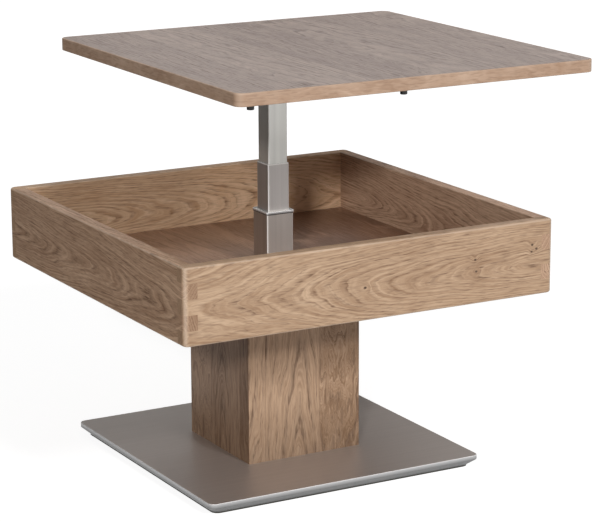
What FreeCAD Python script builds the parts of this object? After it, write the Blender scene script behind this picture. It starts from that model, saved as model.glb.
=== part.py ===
import FreeCAD, Part
import math
import os

# Lift top end table: a square oak tray on an oak pedestal and a steel base, with a top that rises on a
# telescopic column and slides sideways. Lengths in millimetres, +Z up, front towards -Y, and the origin on
# the floor under the column's axis. The table is drawn raised, with its top slid over towards +X.

# Base
base_side = 490.0
base_height = 20.0
base_corner_radius = 12.0
base_lip_height = 7.5
base_edge_radius = 1.2
bevel_inset = 12.0
cover_gauge = 1.5
sole_thickness = 2.0

# Column foot
flange_side = 120.0
flange_thickness = 6.0
flange_bolt_spacing = 92.0
flange_bolt_radius = 4.0
flange_bolt_depth = 12.0
flange_head_radius = 6.5
flange_head_height = 5.5

# Pedestal
pedestal_side = 205.0
pedestal_height = 280.0
pedestal_panel = 20.0
pedestal_edge_radius = 2.0
foot_frame_height = 18.0
foot_frame_clearance = 1.0
corner_block_side = 24.0
cap_plate_thickness = 18.0
cap_screw_spacing = 96.0
cap_screw_radius = 2.5
cap_screw_depth = 12.0
cap_screw_head_radius = 5.0
cap_screw_head_height = 3.0

# Tray
tray_side = 650.0
tray_height = 120.0
tray_wall = 22.0
tray_corner_radius = 9.5
tray_edge_radius = 4.0
tray_inner_edge_radius = 2.0
finger_count = 5
floor_thickness = 20.0
floor_tongue_depth = 8.0
floor_tongue_thickness = 10.0
groove_clearance = 0.2

# Column tubes
outer_side = 48.0
outer_wall = 2.0
mid_side = 38.5
mid_wall = 1.0
inner_side = 35.0
inner_wall = 1.5
tube_corner_radius = 2.5
tube_hole_clearance = 0.3
collar_below_rim = 10.0
collar_wall = 1.4
collar_skirt = 3.5
collar_cap = 1.5
mid_length = 290.0
inner_length = 280.0
mid_extension = 77.0
lift_stroke = 210.0
closed_clearance = 1.5
guide_bush_length = 35.0
glide_ring_length = 30.0
tube_slide_clearance = 0.3

# Gas spring inside the column
spring_foot_radius = 13.0
spring_foot_height = 12.0
cylinder_radius = 11.0
cylinder_wall = 2.0
cylinder_end = 6.0
gland_length = 18.0
piston_height = 12.0
piston_clearance = 0.3
spring_end_gap = 4.0
rod_radius = 5.0
rod_clearance = 0.1
valve_pin_radius = 2.0
valve_pin_depth = 20.0
valve_pin_travel_room = 2.0

# Head of the column and slide frame
frame_gauge = 5.0
frame_bar_width = 30.0
frame_bar_overhang = 18.0
frame_cross_width = 70.0
head_block_height = 25.0
head_block_clearance = 0.2
head_screw_spacing = 21.0
head_screw_radius = 2.0
head_screw_length = 18.0
head_screw_head_radius = 4.0
head_screw_head_height = 2.5

# Glides and rails under the top
slide_travel = 87.0
glide_spacing_x = 272.0
glide_spacing_y = 360.0
glide_length = 40.0
glide_clearance = 0.4
glide_bolt_radius = 3.0
glide_bolt_head_radius = 5.0
glide_bolt_head_height = 4.0
cap_nut_radius = 5.8
cap_nut_height = 9.0
cap_nut_edge_radius = 1.0
rail_gap = 0.5
rail_width = 30.0
rail_height = 18.0
rail_wall = 2.0
rail_slot = 14.0
rail_flange = 14.0
rail_screw_radius = 2.0
rail_screw_depth = 14.0
rail_screw_head_radius = 4.0
rail_screw_head_height = 2.5
rail_screw_socket_radius = 2.0
rail_screw_socket_depth = 1.5
rail_screw_shares = (0.1, 0.5, 0.9)
stop_length = 10.0
stop_clearance = 0.3

# Release lever
lever_pivot_x = 40.0
lever_width = 20.0
lever_thickness = 3.0
lever_tail = 6.0
lever_end_gap = 6.0
lever_boss_radius = 4.5
lever_pin_radius = 2.0
lever_pin_clearance = 0.1
lever_pin_overhang = 1.5
lever_frame_gap = 0.5
lever_touch_gap = 0.3
ear_thickness = 4.0
ear_width = 14.0
ear_cover = 4.0
ear_side_gap = 0.4
rest_tongue_width = 40.0
rest_tongue_reach = 150.0
rest_pad_length = 14.0
rest_pad_width = 16.0
rest_pad_margin = 6.0
grip_length = 42.0
grip_wall = 2.0

# Top
top_side = 634.0
top_thickness = 20.5
top_corner_radius = 15.0
top_edge_radius = 1.5
band_thickness = 3.0

# Small room left round a shank in its hole, and how far a cut runs past what it cuts
hole_clearance = 0.1
overrun = 1.0

# Levels, from the floor up
base_top = base_height
flange_top = base_top + flange_thickness
tray_bottom = base_top + pedestal_height
cap_plate_bottom = tray_bottom - cap_plate_thickness
tray_floor_top = tray_bottom + floor_thickness
rim_level = tray_bottom + tray_height
collar_top = rim_level - collar_below_rim
outer_tube_top = collar_top - collar_cap
mid_top = collar_top + mid_extension
mid_bottom = mid_top - mid_length
frame_bottom = collar_top + closed_clearance + lift_stroke
frame_top = frame_bottom + frame_gauge
inner_bottom = frame_bottom - inner_length
rail_bottom = frame_top + rail_gap
top_underside = rail_bottom + rail_height
top_surface = top_underside + top_thickness

# Sizes that several pieces share
outer_bore = outer_side - 2 * outer_wall
mid_bore = mid_side - 2 * mid_wall
inner_bore = inner_side - 2 * inner_wall
pedestal_bore = pedestal_side - 2 * pedestal_panel
tray_inside = tray_side - 2 * tray_wall
column_hole = outer_side + 2 * tube_hole_clearance
spring_base = flange_top + spring_foot_height
cylinder_bore_bottom = spring_base + cylinder_end
piston_bottom = cylinder_bore_bottom + spring_end_gap + lift_stroke
gland_bottom = piston_bottom + piston_height + spring_end_gap
cylinder_top = gland_bottom + gland_length
cylinder_bore_radius = cylinder_radius - cylinder_wall
top_centre_x = slide_travel
rail_left = -glide_spacing_x / 2 - glide_length / 2 - stop_clearance - stop_length
rail_right = glide_spacing_x / 2 + glide_length / 2 + slide_travel + stop_clearance + stop_length
lever_axis = frame_top + lever_frame_gap + lever_boss_radius
lever_bottom = lever_axis - lever_thickness / 2
lever_top = lever_axis + lever_thickness / 2
lever_reach = tray_inside / 2 - lever_end_gap


def block(x_low, x_high, y_low, y_high, z_low, z_high):
    corner = FreeCAD.Vector(x_low, y_low, z_low)
    return Part.makeBox(x_high - x_low, y_high - y_low, z_high - z_low, corner)


def square_block(side, z_low, z_high):
    half = side / 2
    return block(-half, half, -half, half, z_low, z_high)


def round_bar(radius, z_low, z_high, x=0.0, y=0.0):
    return Part.makeCylinder(radius, z_high - z_low, FreeCAD.Vector(x, y, z_low))


def cross_bar(radius, x, z, y_low, y_high):
    start = FreeCAD.Vector(x, y_low, z)
    return Part.makeCylinder(radius, y_high - y_low, start, FreeCAD.Vector(0, 1, 0))


def rounded_square(side, radius, z):
    # Outline with four straight sides and four corner arcs
    half = side / 2
    flat = half - radius
    reach = flat + radius / math.sqrt(2)
    corner = ((flat, -half), (-flat, -half), (-reach, -reach), (-half, -flat))
    edges = []
    for quarter in range(4):
        turn = FreeCAD.Rotation(FreeCAD.Vector(0, 0, 1), -90 * quarter)
        start, bend, middle, end = [turn.multVec(FreeCAD.Vector(x, y, z)) for x, y in corner]
        edges.append(Part.LineSegment(start, bend).toShape())
        edges.append(Part.Arc(bend, middle, end).toShape())
    return Part.Wire(edges)


def rounded_block(side, radius, z_low, z_high):
    outline = Part.Face(rounded_square(side, radius, z_low))
    return outline.extrude(FreeCAD.Vector(0, 0, z_high - z_low))


def edges_at(shape, level):
    # Edges that lie in the plane z = level
    found = []
    for edge in shape.Edges:
        box = edge.BoundBox
        if abs(box.ZMin - level) < hole_clearance and abs(box.ZMax - level) < hole_clearance:
            found.append(edge)
    return found


def square_tube(side, wall, z_low, z_high):
    skin = rounded_block(side, tube_corner_radius, z_low, z_high)
    bore_radius = max(tube_corner_radius - wall, hole_clearance)
    bore = rounded_block(side - 2 * wall, bore_radius, z_low - overrun, z_high + overrun)
    return skin.cut(bore)


def tube_liner(bore_side, bore_wall, inside_side, inside_gap, z_low, z_high, outside_gap):
    # Square ring that fills the room between a tube's bore and the tube inside it
    bore_radius = max(tube_corner_radius - bore_wall, hole_clearance)
    skin = rounded_block(bore_side - 2 * outside_gap, bore_radius, z_low, z_high)
    hole_side = inside_side + 2 * inside_gap
    hole = rounded_block(hole_side, tube_corner_radius + inside_gap, z_low - overrun, z_high + overrun)
    return skin.cut(hole)


def square_places(spacing_x, spacing_y):
    return [(sx * spacing_x / 2, sy * spacing_y / 2) for sx in (-1, 1) for sy in (-1, 1)]


def cut_all(shape, tools):
    for tool in tools:
        shape = shape.cut(tool)
    return shape


def fuse_all(shapes):
    whole = shapes[0]
    for shape in shapes[1:]:
        whole = whole.fuse(shape)
    return whole.removeSplitter()


def save(node, *solids):
    shape = solids[0] if len(solids) == 1 else Part.makeCompound(list(solids))
    shape.exportStep(f"parts/{node}.step")


def base_form(inset, z_top):
    # Upright lip over a bevel that runs in towards the floor
    side = base_side - 2 * inset
    lip_bottom = base_top - base_lip_height
    lip = rounded_block(side, base_corner_radius - inset, lip_bottom, z_top)
    upper = rounded_square(side, base_corner_radius - inset, lip_bottom)
    lower = rounded_square(side - 2 * bevel_inset, base_corner_radius - inset, sole_thickness)
    bevel = Part.makeLoft([lower, upper], True, True)
    return lip, bevel


def flange_bolt_holes():
    low = base_top - cover_gauge - flange_bolt_depth - overrun
    radius = flange_bolt_radius + hole_clearance
    places = square_places(flange_bolt_spacing, flange_bolt_spacing)
    return [round_bar(radius, low, flange_top + overrun, x, y) for x, y in places]


def make_base():
    lip, bevel = base_form(0.0, base_top)
    lip = lip.makeFillet(base_edge_radius, edges_at(lip, base_top))
    inner_lip, inner_bevel = base_form(cover_gauge, base_top - cover_gauge)
    core = fuse_all([inner_lip, inner_bevel])
    cover = fuse_all([lip, bevel]).cut(core)
    sole_side = base_side - 2 * bevel_inset
    save("felt_sole", rounded_block(sole_side, base_corner_radius, 0.0, sole_thickness))
    save("base_core", cut_all(core, flange_bolt_holes()))
    save("base_cover", cut_all(cover, flange_bolt_holes()))


def make_column_foot():
    flange = square_block(flange_side, base_top, flange_top)
    save("foot_flange", cut_all(flange, flange_bolt_holes()))
    bolts = []
    for x, y in square_places(flange_bolt_spacing, flange_bolt_spacing):
        shank = round_bar(flange_bolt_radius, base_top - cover_gauge - flange_bolt_depth, flange_top, x, y)
        head = round_bar(flange_head_radius, flange_top, flange_top + flange_head_height, x, y)
        bolts.append(fuse_all([shank, head]))
    save("flange_bolts", *bolts)


def mitre_wedge(turn, reach, z_low, z_high):
    # Quarter of a square, from its middle to one side
    points = [FreeCAD.Vector(x, y, z_low) for x, y in ((0, 0), (-reach, -reach), (reach, -reach), (0, 0))]
    face = Part.Face(Part.makePolygon(points))
    wedge = face.extrude(FreeCAD.Vector(0, 0, z_high - z_low))
    wedge.rotate(FreeCAD.Vector(0, 0, 0), FreeCAD.Vector(0, 0, 1), turn)
    return wedge


def make_pedestal():
    post = rounded_block(pedestal_side, pedestal_edge_radius, base_top, tray_bottom)
    shell = post.cut(square_block(pedestal_bore, base_top - overrun, tray_bottom + overrun))
    sides = {"pedestal_front": 0, "pedestal_right": 90, "pedestal_back": 180, "pedestal_left": 270}
    for node, turn in sides.items():
        save(node, shell.common(mitre_wedge(turn, pedestal_side, base_top, tray_bottom)))

    frame_level = base_top + foot_frame_height
    frame = square_block(pedestal_bore, base_top, frame_level)
    hole_side = flange_side + 2 * foot_frame_clearance
    save("pedestal_foot_frame", frame.cut(square_block(hole_side, base_top - overrun, frame_level + overrun)))

    blocks = []
    reach = pedestal_bore / 2
    for sx, sy in ((-1, -1), (1, -1), (1, 1), (-1, 1)):
        near = reach - corner_block_side
        xs = sorted((sx * near, sx * reach))
        ys = sorted((sy * near, sy * reach))
        blocks.append(block(*xs, *ys, frame_level, cap_plate_bottom))
    save("pedestal_corner_blocks", *blocks)


def cap_screw_holes():
    radius = cap_screw_radius + hole_clearance
    low = cap_plate_bottom - overrun
    high = tray_bottom + cap_screw_depth + hole_clearance
    places = square_places(cap_screw_spacing, cap_screw_spacing)
    return [round_bar(radius, low, high, x, y) for x, y in places]


def make_cap_plate():
    plate = square_block(pedestal_bore, cap_plate_bottom, tray_bottom)
    column_way = square_block(column_hole, cap_plate_bottom - overrun, tray_bottom + overrun)
    save("pedestal_cap_plate", cut_all(plate.cut(column_way), cap_screw_holes()))
    screws = []
    head_bottom = cap_plate_bottom - cap_screw_head_height
    for x, y in square_places(cap_screw_spacing, cap_screw_spacing):
        head = round_bar(cap_screw_head_radius, head_bottom, cap_plate_bottom, x, y)
        shank = round_bar(cap_screw_radius, cap_plate_bottom, tray_bottom + cap_screw_depth, x, y)
        screws.append(fuse_all([head, shank]))
    save("cap_plate_screws", *screws)


def tongue_slab(side_gap, face_gap):
    middle = tray_bottom + floor_thickness / 2
    half = floor_tongue_thickness / 2 + face_gap
    side = tray_inside + 2 * floor_tongue_depth + 2 * side_gap
    return square_block(side, middle - half, middle + half)


def is_on_inside(edge):
    middle = edge.CenterOfMass
    return abs(max(abs(middle.x), abs(middle.y)) - tray_inside / 2) < hole_clearance


def tray_ring():
    body = rounded_block(tray_side, tray_corner_radius, tray_bottom, rim_level)
    body = body.makeFillet(tray_edge_radius, edges_at(body, rim_level) + edges_at(body, tray_bottom))
    ring = body.cut(square_block(tray_inside, tray_bottom - overrun, rim_level + overrun))
    inner_edges = [edge for edge in edges_at(ring, rim_level) if is_on_inside(edge)]
    return ring.makeFillet(tray_inner_edge_radius, inner_edges)


def make_tray():
    # The long-grain fingers of front and back alternate with those of the two side walls
    ring = cut_all(tray_ring(), [tongue_slab(groove_clearance, 0.0)])
    half = tray_side / 2
    inside = tray_inside / 2
    finger = tray_height / finger_count
    front = block(-half, half, -half, -inside, tray_bottom, rim_level)
    left = block(-half, -inside, -half, half, tray_bottom, rim_level)
    for index in range(finger_count):
        low = tray_bottom + index * finger
        corners = []
        for sx in ((-half, -inside), (inside, half)):
            for sy in ((-half, -inside), (inside, half)):
                corners.append(block(*sx, *sy, low, low + finger))
        if index % 2 == 0:
            left = cut_all(left, corners)
        else:
            front = cut_all(front, corners)
    back = front.mirror(FreeCAD.Vector(0, 0, 0), FreeCAD.Vector(0, 1, 0))
    right = left.mirror(FreeCAD.Vector(0, 0, 0), FreeCAD.Vector(1, 0, 0))
    save("tray_front", ring.common(front))
    save("tray_back", ring.common(back))
    save("tray_left", ring.common(left))
    save("tray_right", ring.common(right))

    panel = fuse_all([square_block(tray_inside, tray_bottom, tray_floor_top), tongue_slab(0.0, 0.0)])
    column_way = square_block(column_hole, tray_bottom - overrun, tray_floor_top + overrun)
    save("tray_floor", cut_all(panel.cut(column_way), cap_screw_holes()))


def make_outer_stage():
    save("outer_tube", square_tube(outer_side, outer_wall, flange_top, outer_tube_top))
    collar_side = outer_side + 2 * collar_wall
    collar_bottom = outer_tube_top - collar_skirt
    collar = rounded_block(collar_side, tube_corner_radius + collar_wall, collar_bottom, collar_top)
    rims = edges_at(collar, collar_top) + edges_at(collar, collar_bottom)
    collar = collar.makeFillet(collar_wall / 2, rims)
    tube_seat = rounded_block(outer_side, tube_corner_radius, collar_bottom - overrun, outer_tube_top)
    mouth_radius = tube_corner_radius + tube_slide_clearance
    mouth_side = mid_side + 2 * tube_slide_clearance
    mouth = rounded_block(mouth_side, mouth_radius, collar_bottom, collar_top + overrun)
    save("outer_collar", cut_all(collar, [tube_seat, mouth]))
    low = outer_tube_top - guide_bush_length
    gap = tube_slide_clearance
    save("outer_guide_bush", tube_liner(outer_bore, outer_wall, mid_side, gap, low, outer_tube_top, 0.0))


def make_mid_stage():
    gap = tube_slide_clearance
    save("mid_tube", square_tube(mid_side, mid_wall, mid_bottom, mid_top))
    ring_top = mid_bottom + glide_ring_length
    save("mid_glide_ring", tube_liner(outer_bore, outer_wall, mid_side, 0.0, mid_bottom, ring_top, gap))
    bush_bottom = mid_top - guide_bush_length
    save("mid_guide_bush", tube_liner(mid_bore, mid_wall, inner_side, gap, bush_bottom, mid_top, 0.0))


def head_screw_holes():
    radius = head_screw_radius + hole_clearance
    low = frame_top - head_screw_length - overrun
    holes = []
    for x, y in square_places(head_screw_spacing, head_screw_spacing):
        holes.append(round_bar(radius, low, frame_top + overrun, x, y))
        seat = frame_top - head_screw_head_height
        holes.append(round_bar(head_screw_head_radius + hole_clearance, seat, frame_top + overrun, x, y))
    return holes


def rod_way(z_low, z_high):
    return round_bar(rod_radius + rod_clearance, z_low - overrun, z_high + overrun)


def make_inner_stage():
    gap = tube_slide_clearance
    save("inner_tube", square_tube(inner_side, inner_wall, inner_bottom, frame_bottom))
    ring_top = inner_bottom + glide_ring_length
    save("inner_glide_ring", tube_liner(mid_bore, mid_wall, inner_side, 0.0, inner_bottom, ring_top, gap))

    block_bottom = frame_bottom - head_block_height
    plug_side = inner_bore - 2 * head_block_clearance
    plug = rounded_block(plug_side, tube_corner_radius, block_bottom, frame_bottom)
    plug = plug.cut(rod_way(block_bottom, frame_bottom))
    save("head_block", cut_all(plug, head_screw_holes()))
    screws = []
    for x, y in square_places(head_screw_spacing, head_screw_spacing):
        head = round_bar(head_screw_head_radius, frame_top - head_screw_head_height, frame_top, x, y)
        shank = round_bar(head_screw_radius, frame_top - head_screw_length, frame_top, x, y)
        screws.append(fuse_all([head, shank]))
    save("head_screws", *screws)


def make_gas_spring():
    save("gas_spring_foot", round_bar(spring_foot_radius, flange_top, spring_base))
    barrel = round_bar(cylinder_radius, spring_base, cylinder_top)
    bore = round_bar(cylinder_bore_radius, cylinder_bore_bottom, cylinder_top + overrun)
    save("gas_spring_cylinder", barrel.cut(bore))
    gland = round_bar(cylinder_bore_radius, gland_bottom, cylinder_top)
    save("gas_spring_gland", gland.cut(rod_way(gland_bottom, cylinder_top)))

    rod = round_bar(rod_radius, piston_bottom, frame_top)
    pin_bottom = frame_top - valve_pin_depth
    pin_room = pin_bottom - valve_pin_travel_room
    pin_way = round_bar(valve_pin_radius + hole_clearance, pin_room, frame_top + overrun)
    save("gas_spring_rod", rod.cut(pin_way))
    piston_top = piston_bottom + piston_height
    piston = round_bar(cylinder_bore_radius - piston_clearance, piston_bottom, piston_top)
    rod_seat = round_bar(rod_radius, piston_bottom - overrun, piston_top + overrun)
    save("gas_spring_piston", piston.cut(rod_seat))
    save("valve_pin", round_bar(valve_pin_radius, pin_bottom, lever_bottom - lever_touch_gap))


def glide_places():
    return square_places(glide_spacing_x, glide_spacing_y)


def make_slide_frame():
    # A plate on the column's head, with a bar welded to its front and back ends and a tongue under the lever
    bar_reach = glide_spacing_x / 2 + frame_bar_overhang
    outer_edge = (glide_spacing_y + frame_bar_width) / 2
    inner_edge = (glide_spacing_y - frame_bar_width) / 2
    cross = frame_cross_width / 2
    plate = block(-cross, cross, -inner_edge, inner_edge, frame_bottom, frame_top)
    save("frame_cross_plate", cut_all(plate, [rod_way(frame_bottom, frame_top)] + head_screw_holes()))
    half_tongue = rest_tongue_width / 2
    save("lever_tongue", block(cross, rest_tongue_reach, -half_tongue, half_tongue, frame_bottom, frame_top))

    bolt_way = glide_bolt_radius + hole_clearance
    low = frame_bottom - overrun
    high = frame_top + overrun
    bolt_holes = [round_bar(bolt_way, low, high, x, y) for x, y in glide_places()]
    front_bar = block(-bar_reach, bar_reach, -outer_edge, -inner_edge, frame_bottom, frame_top)
    back_bar = block(-bar_reach, bar_reach, inner_edge, outer_edge, frame_bottom, frame_top)
    save("frame_front_bar", cut_all(front_bar, bolt_holes))
    save("frame_back_bar", cut_all(back_bar, bolt_holes))


def make_glides():
    # Each block has a wide head in the rail, a neck in the rail's slot and a bolt down through the frame
    head_bottom = rail_bottom + rail_wall + glide_clearance
    head_top = top_underside - rail_wall - glide_clearance
    half_head = rail_width / 2 - rail_wall - glide_clearance
    half_neck = rail_slot / 2 - glide_clearance
    seat = head_top - glide_bolt_head_height
    thread_end = frame_bottom - cap_nut_height / 2
    bolt_way = glide_bolt_radius + hole_clearance
    blocks = []
    bolts = []
    nuts = []
    for x, y in glide_places():
        x_low = x - glide_length / 2
        x_high = x + glide_length / 2
        head = block(x_low, x_high, y - half_head, y + half_head, head_bottom, head_top)
        neck = block(x_low, x_high, y - half_neck, y + half_neck, frame_top, head_bottom)
        shank_way = round_bar(bolt_way, frame_top - overrun, head_top + overrun, x, y)
        head_way = round_bar(glide_bolt_head_radius + hole_clearance, seat, head_top + overrun, x, y)
        blocks.append(cut_all(fuse_all([head, neck]), [shank_way, head_way]))
        shank = round_bar(glide_bolt_radius, thread_end, head_top, x, y)
        bolts.append(fuse_all([shank, round_bar(glide_bolt_head_radius, seat, head_top, x, y)]))
        nut_bottom = frame_bottom - cap_nut_height
        nut = round_bar(cap_nut_radius, nut_bottom, frame_bottom, x, y)
        nut = nut.makeFillet(cap_nut_edge_radius, edges_at(nut, nut_bottom))
        nuts.append(nut.cut(round_bar(glide_bolt_radius, thread_end, frame_bottom + overrun, x, y)))
    save("glide_blocks", *blocks)
    save("glide_bolts", *bolts)
    save("cap_nuts", *nuts)


def hex_socket(radius, z_low, z_high, x, y):
    corners = []
    for corner in range(7):
        turn = FreeCAD.Rotation(FreeCAD.Vector(0, 0, 1), 60 * corner)
        corners.append(FreeCAD.Vector(x, y, z_low) + turn.multVec(FreeCAD.Vector(radius, 0, 0)))
    return Part.Face(Part.makePolygon(corners)).extrude(FreeCAD.Vector(0, 0, z_high - z_low))


def rail_screw_places():
    length = rail_right - rail_left
    places = []
    for side in (-1, 1):
        for edge in (-1, 1):
            y = side * glide_spacing_y / 2 + edge * (rail_width + rail_flange) / 2
            places += [(rail_left + share * length, y) for share in rail_screw_shares]
    return places


def make_rails():
    # Channels open downwards in a slot, with a flange welded along each side that screws up into the top
    rails = []
    flanges = []
    stops = []
    inside_half = rail_width / 2 - rail_wall
    flange_level = top_underside - rail_wall
    room_low = rail_bottom + rail_wall
    half = rail_width / 2
    reach = half + rail_flange
    screw_way = rail_screw_radius + hole_clearance
    low = flange_level - overrun
    screw_holes = [round_bar(screw_way, low, top_underside, x, y) for x, y in rail_screw_places()]
    x_low = rail_left - overrun
    x_high = rail_right + overrun
    for side in (-1, 1):
        y = side * glide_spacing_y / 2
        channel = block(rail_left, rail_right, y - half, y + half, rail_bottom, top_underside)
        room = block(x_low, x_high, y - inside_half, y + inside_half, room_low, flange_level)
        slot = block(x_low, x_high, y - rail_slot / 2, y + rail_slot / 2, rail_bottom - overrun, room_low)
        rails.append(cut_all(channel, [room, slot]))
        for ys in ((y - reach, y - half), (y + half, y + reach)):
            flange = block(rail_left, rail_right, *ys, flange_level, top_underside)
            flanges.append(cut_all(flange, screw_holes))
        for stop_low in (rail_left, rail_right - stop_length):
            stop_high = stop_low + stop_length
            stops.append(block(stop_low, stop_high, y - inside_half, y + inside_half, room_low, flange_level))
    save("slide_rails", *rails)
    save("rail_flanges", *flanges)
    save("rail_end_stops", *stops)

    screws = []
    head_bottom = flange_level - rail_screw_head_height
    for x, y in rail_screw_places():
        head = round_bar(rail_screw_head_radius, head_bottom, flange_level, x, y)
        shank = round_bar(rail_screw_radius, flange_level, top_underside + rail_screw_depth, x, y)
        socket_top = head_bottom + rail_screw_socket_depth
        socket = hex_socket(rail_screw_socket_radius, head_bottom - overrun, socket_top, x, y)
        screws.append(fuse_all([head, shank]).cut(socket))
    save("rail_screws", *screws)


def make_lever():
    half = lever_width / 2
    strip = block(-lever_tail, lever_reach, -half, half, lever_bottom, lever_top)
    boss = cross_bar(lever_boss_radius, lever_pivot_x, lever_axis, -half, half)
    way_radius = lever_pin_radius + lever_pin_clearance
    pin_way = cross_bar(way_radius, lever_pivot_x, lever_axis, -half - overrun, half + overrun)
    save("release_lever", fuse_all([strip, boss]).cut(pin_way))

    grip_low = lever_reach - grip_length
    grip_high = lever_reach + grip_wall
    grip_half = half + grip_wall
    low = lever_bottom - grip_wall
    high = lever_top + grip_wall
    grip = block(grip_low, grip_high, -grip_half, grip_half, low, high)
    grip = grip.makeFillet(grip_wall / 2, grip.Edges)
    save("lever_grip", grip.cut(strip))

    ears = []
    ear_top = lever_axis + lever_pin_radius + ear_cover
    ear_low = lever_pivot_x - ear_width / 2
    ear_high = lever_pivot_x + ear_width / 2
    ear_near = half + ear_side_gap
    ear_far = ear_near + ear_thickness
    pin_reach = ear_far + lever_pin_overhang
    for ys in ((-ear_far, -ear_near), (ear_near, ear_far)):
        ear = block(ear_low, ear_high, *ys, frame_top, ear_top)
        ears.append(ear.cut(cross_bar(lever_pin_radius, lever_pivot_x, lever_axis, -pin_reach, pin_reach)))
    save("lever_bracket", *ears)
    save("lever_pivot_pin", cross_bar(lever_pin_radius, lever_pivot_x, lever_axis, -pin_reach, pin_reach))

    pad_high = rest_tongue_reach - rest_pad_margin
    pad_low = pad_high - rest_pad_length
    pad_half = rest_pad_width / 2
    pad_top = lever_bottom - lever_touch_gap
    save("lever_rest_pad", block(pad_low, pad_high, -pad_half, pad_half, frame_top, pad_top))


def make_top():
    shift = FreeCAD.Vector(top_centre_x, 0, 0)
    whole = rounded_block(top_side, top_corner_radius, top_underside, top_surface)
    whole = whole.makeFillet(top_edge_radius, edges_at(whole, top_surface) + edges_at(whole, top_underside))
    panel_side = top_side - 2 * band_thickness
    panel_radius = top_corner_radius - band_thickness
    panel = rounded_block(panel_side, panel_radius, top_underside, top_surface)
    core = rounded_block(panel_side, panel_radius, top_underside - overrun, top_surface + overrun)
    band = whole.cut(core)
    panel.translate(shift)
    band.translate(shift)
    depth = top_underside + rail_screw_depth + hole_clearance
    radius = rail_screw_radius + hole_clearance
    pilot_holes = [round_bar(radius, top_underside - overrun, depth, x, y) for x, y in rail_screw_places()]
    save("top_panel", cut_all(panel, pilot_holes))
    save("top_edge_band", band)


os.makedirs("parts", exist_ok=True)
make_base()
make_column_foot()
make_pedestal()
make_cap_plate()
make_tray()
make_outer_stage()
make_mid_stage()
make_inner_stage()
make_gas_spring()
make_slide_frame()
make_glides()
make_rails()
make_lever()
make_top()
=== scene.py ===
import math

import bpy
from mathutils import Matrix, Vector

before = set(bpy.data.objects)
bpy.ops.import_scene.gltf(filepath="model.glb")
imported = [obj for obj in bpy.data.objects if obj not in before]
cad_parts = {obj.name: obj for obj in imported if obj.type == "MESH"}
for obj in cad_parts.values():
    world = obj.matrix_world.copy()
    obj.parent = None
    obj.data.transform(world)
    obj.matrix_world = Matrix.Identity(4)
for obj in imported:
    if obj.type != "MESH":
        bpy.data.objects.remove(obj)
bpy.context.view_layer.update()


# Felt sole
# A sheet of needled wool felt, glued under the base so that it slides on a hard floor without
# scratching it. Cut from the roll, so its surface is a mat of short dark fibres.
MM = 0.001


def linear(code):
    """Turns an sRGB hex colour into the linear one that a shader takes."""
    shares = [int(code[i:i + 2], 16) / 255 for i in (1, 3, 5)]
    return [s / 12.92 if s <= 0.04045 else ((s + 0.055) / 1.055) ** 2.4 for s in shares] + [1.0]


def add(tree, kind, settings, links=()):
    """Adds one node, sets its properties and its unlinked sockets, and links the rest."""
    node = tree.nodes.new("ShaderNode" + kind)
    for key, value in settings.items():
        if isinstance(key, int) or key in node.inputs:
            node.inputs[key].default_value = value
        else:
            setattr(node, key, value)
    for key, socket in dict(links).items():
        tree.links.new(socket, node.inputs[key])
    return node


def new_material(name):
    """A new material, with its node tree and its shader."""
    material = bpy.data.materials.new(name)
    material.use_nodes = True
    return material, material.node_tree, material.node_tree.nodes["Principled BSDF"]


def finish_with(material, *names):
    """Gives CAD nodes that material."""
    for name in names:
        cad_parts[name].material_slots[0].material = material


# Wool felt: matted fibres scatter light softly, so it has no gloss and a faint fluffy mottle.
# The fibres, 0.03 mm across, are too fine to show and are drawn as a mottle of 1.2 mm.
FELT_MOTTLE = 1.2 * MM
FELT_FLUFF = 0.4 * MM
felt, tree, shader = new_material("wool_felt")
place = add(tree, "TexCoord", {})
mottle = add(tree, "TexNoise", {"Scale": 1 / FELT_MOTTLE, "Detail": 4.0},
             {"Vector": place.outputs["Object"]})
shade = add(tree, "Mix", {"data_type": "RGBA", 6: linear("#26241F"), 7: linear("#4A4740")},
            {0: mottle.outputs["Fac"]})
fluff = add(tree, "Bump", {"Strength": 0.6, "Distance": FELT_FLUFF}, {"Height": mottle.outputs["Fac"]})
tree.links.new(shade.outputs[2], shader.inputs["Base Color"])
tree.links.new(fluff.outputs["Normal"], shader.inputs["Normal"])
shader.inputs["Roughness"].default_value = 0.95
shader.inputs["Specular IOR Level"].default_value = 0.2
shader.inputs["Sheen Weight"].default_value = 0.3
finish_with(felt, "felt_sole")


# Ballast plate
# A thick cast-iron slab, ground flat above and chamfered below, that keeps the table from tipping.
# It lies on the felt, and the steel cover folds round it, so that it shows only when the cover is off.

# Painted cast iron: sprayed grey over a sand-cast skin, so satin with a fine pebbling of 1.5 mm.
SAND_GRAIN = 1.5 * MM
SAND_DEPTH = 0.15 * MM
PAINT_CLOUD = 60 * MM
iron, tree, shader = new_material("painted_cast_iron")
place = add(tree, "TexCoord", {})
pebbles = add(tree, "TexNoise", {"Scale": 1 / SAND_GRAIN, "Detail": 3.0},
              {"Vector": place.outputs["Object"]})
clouds = add(tree, "TexNoise", {"Scale": 1 / PAINT_CLOUD, "Detail": 2.0},
             {"Vector": place.outputs["Object"]})
shade = add(tree, "Mix", {"data_type": "RGBA", 6: linear("#77756F"), 7: linear("#8C8A85")},
            {0: clouds.outputs["Fac"]})
skin = add(tree, "Bump", {"Strength": 0.35, "Distance": SAND_DEPTH}, {"Height": pebbles.outputs["Fac"]})
rubbed = add(tree, "MapRange", {"To Min": 0.42, "To Max": 0.6}, {"Value": pebbles.outputs["Fac"]})
tree.links.new(shade.outputs[2], shader.inputs["Base Color"])
tree.links.new(skin.outputs["Normal"], shader.inputs["Normal"])
tree.links.new(rubbed.outputs["Result"], shader.inputs["Roughness"])
shader.inputs["Metallic"].default_value = 0.25
finish_with(iron, "base_core")


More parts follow.
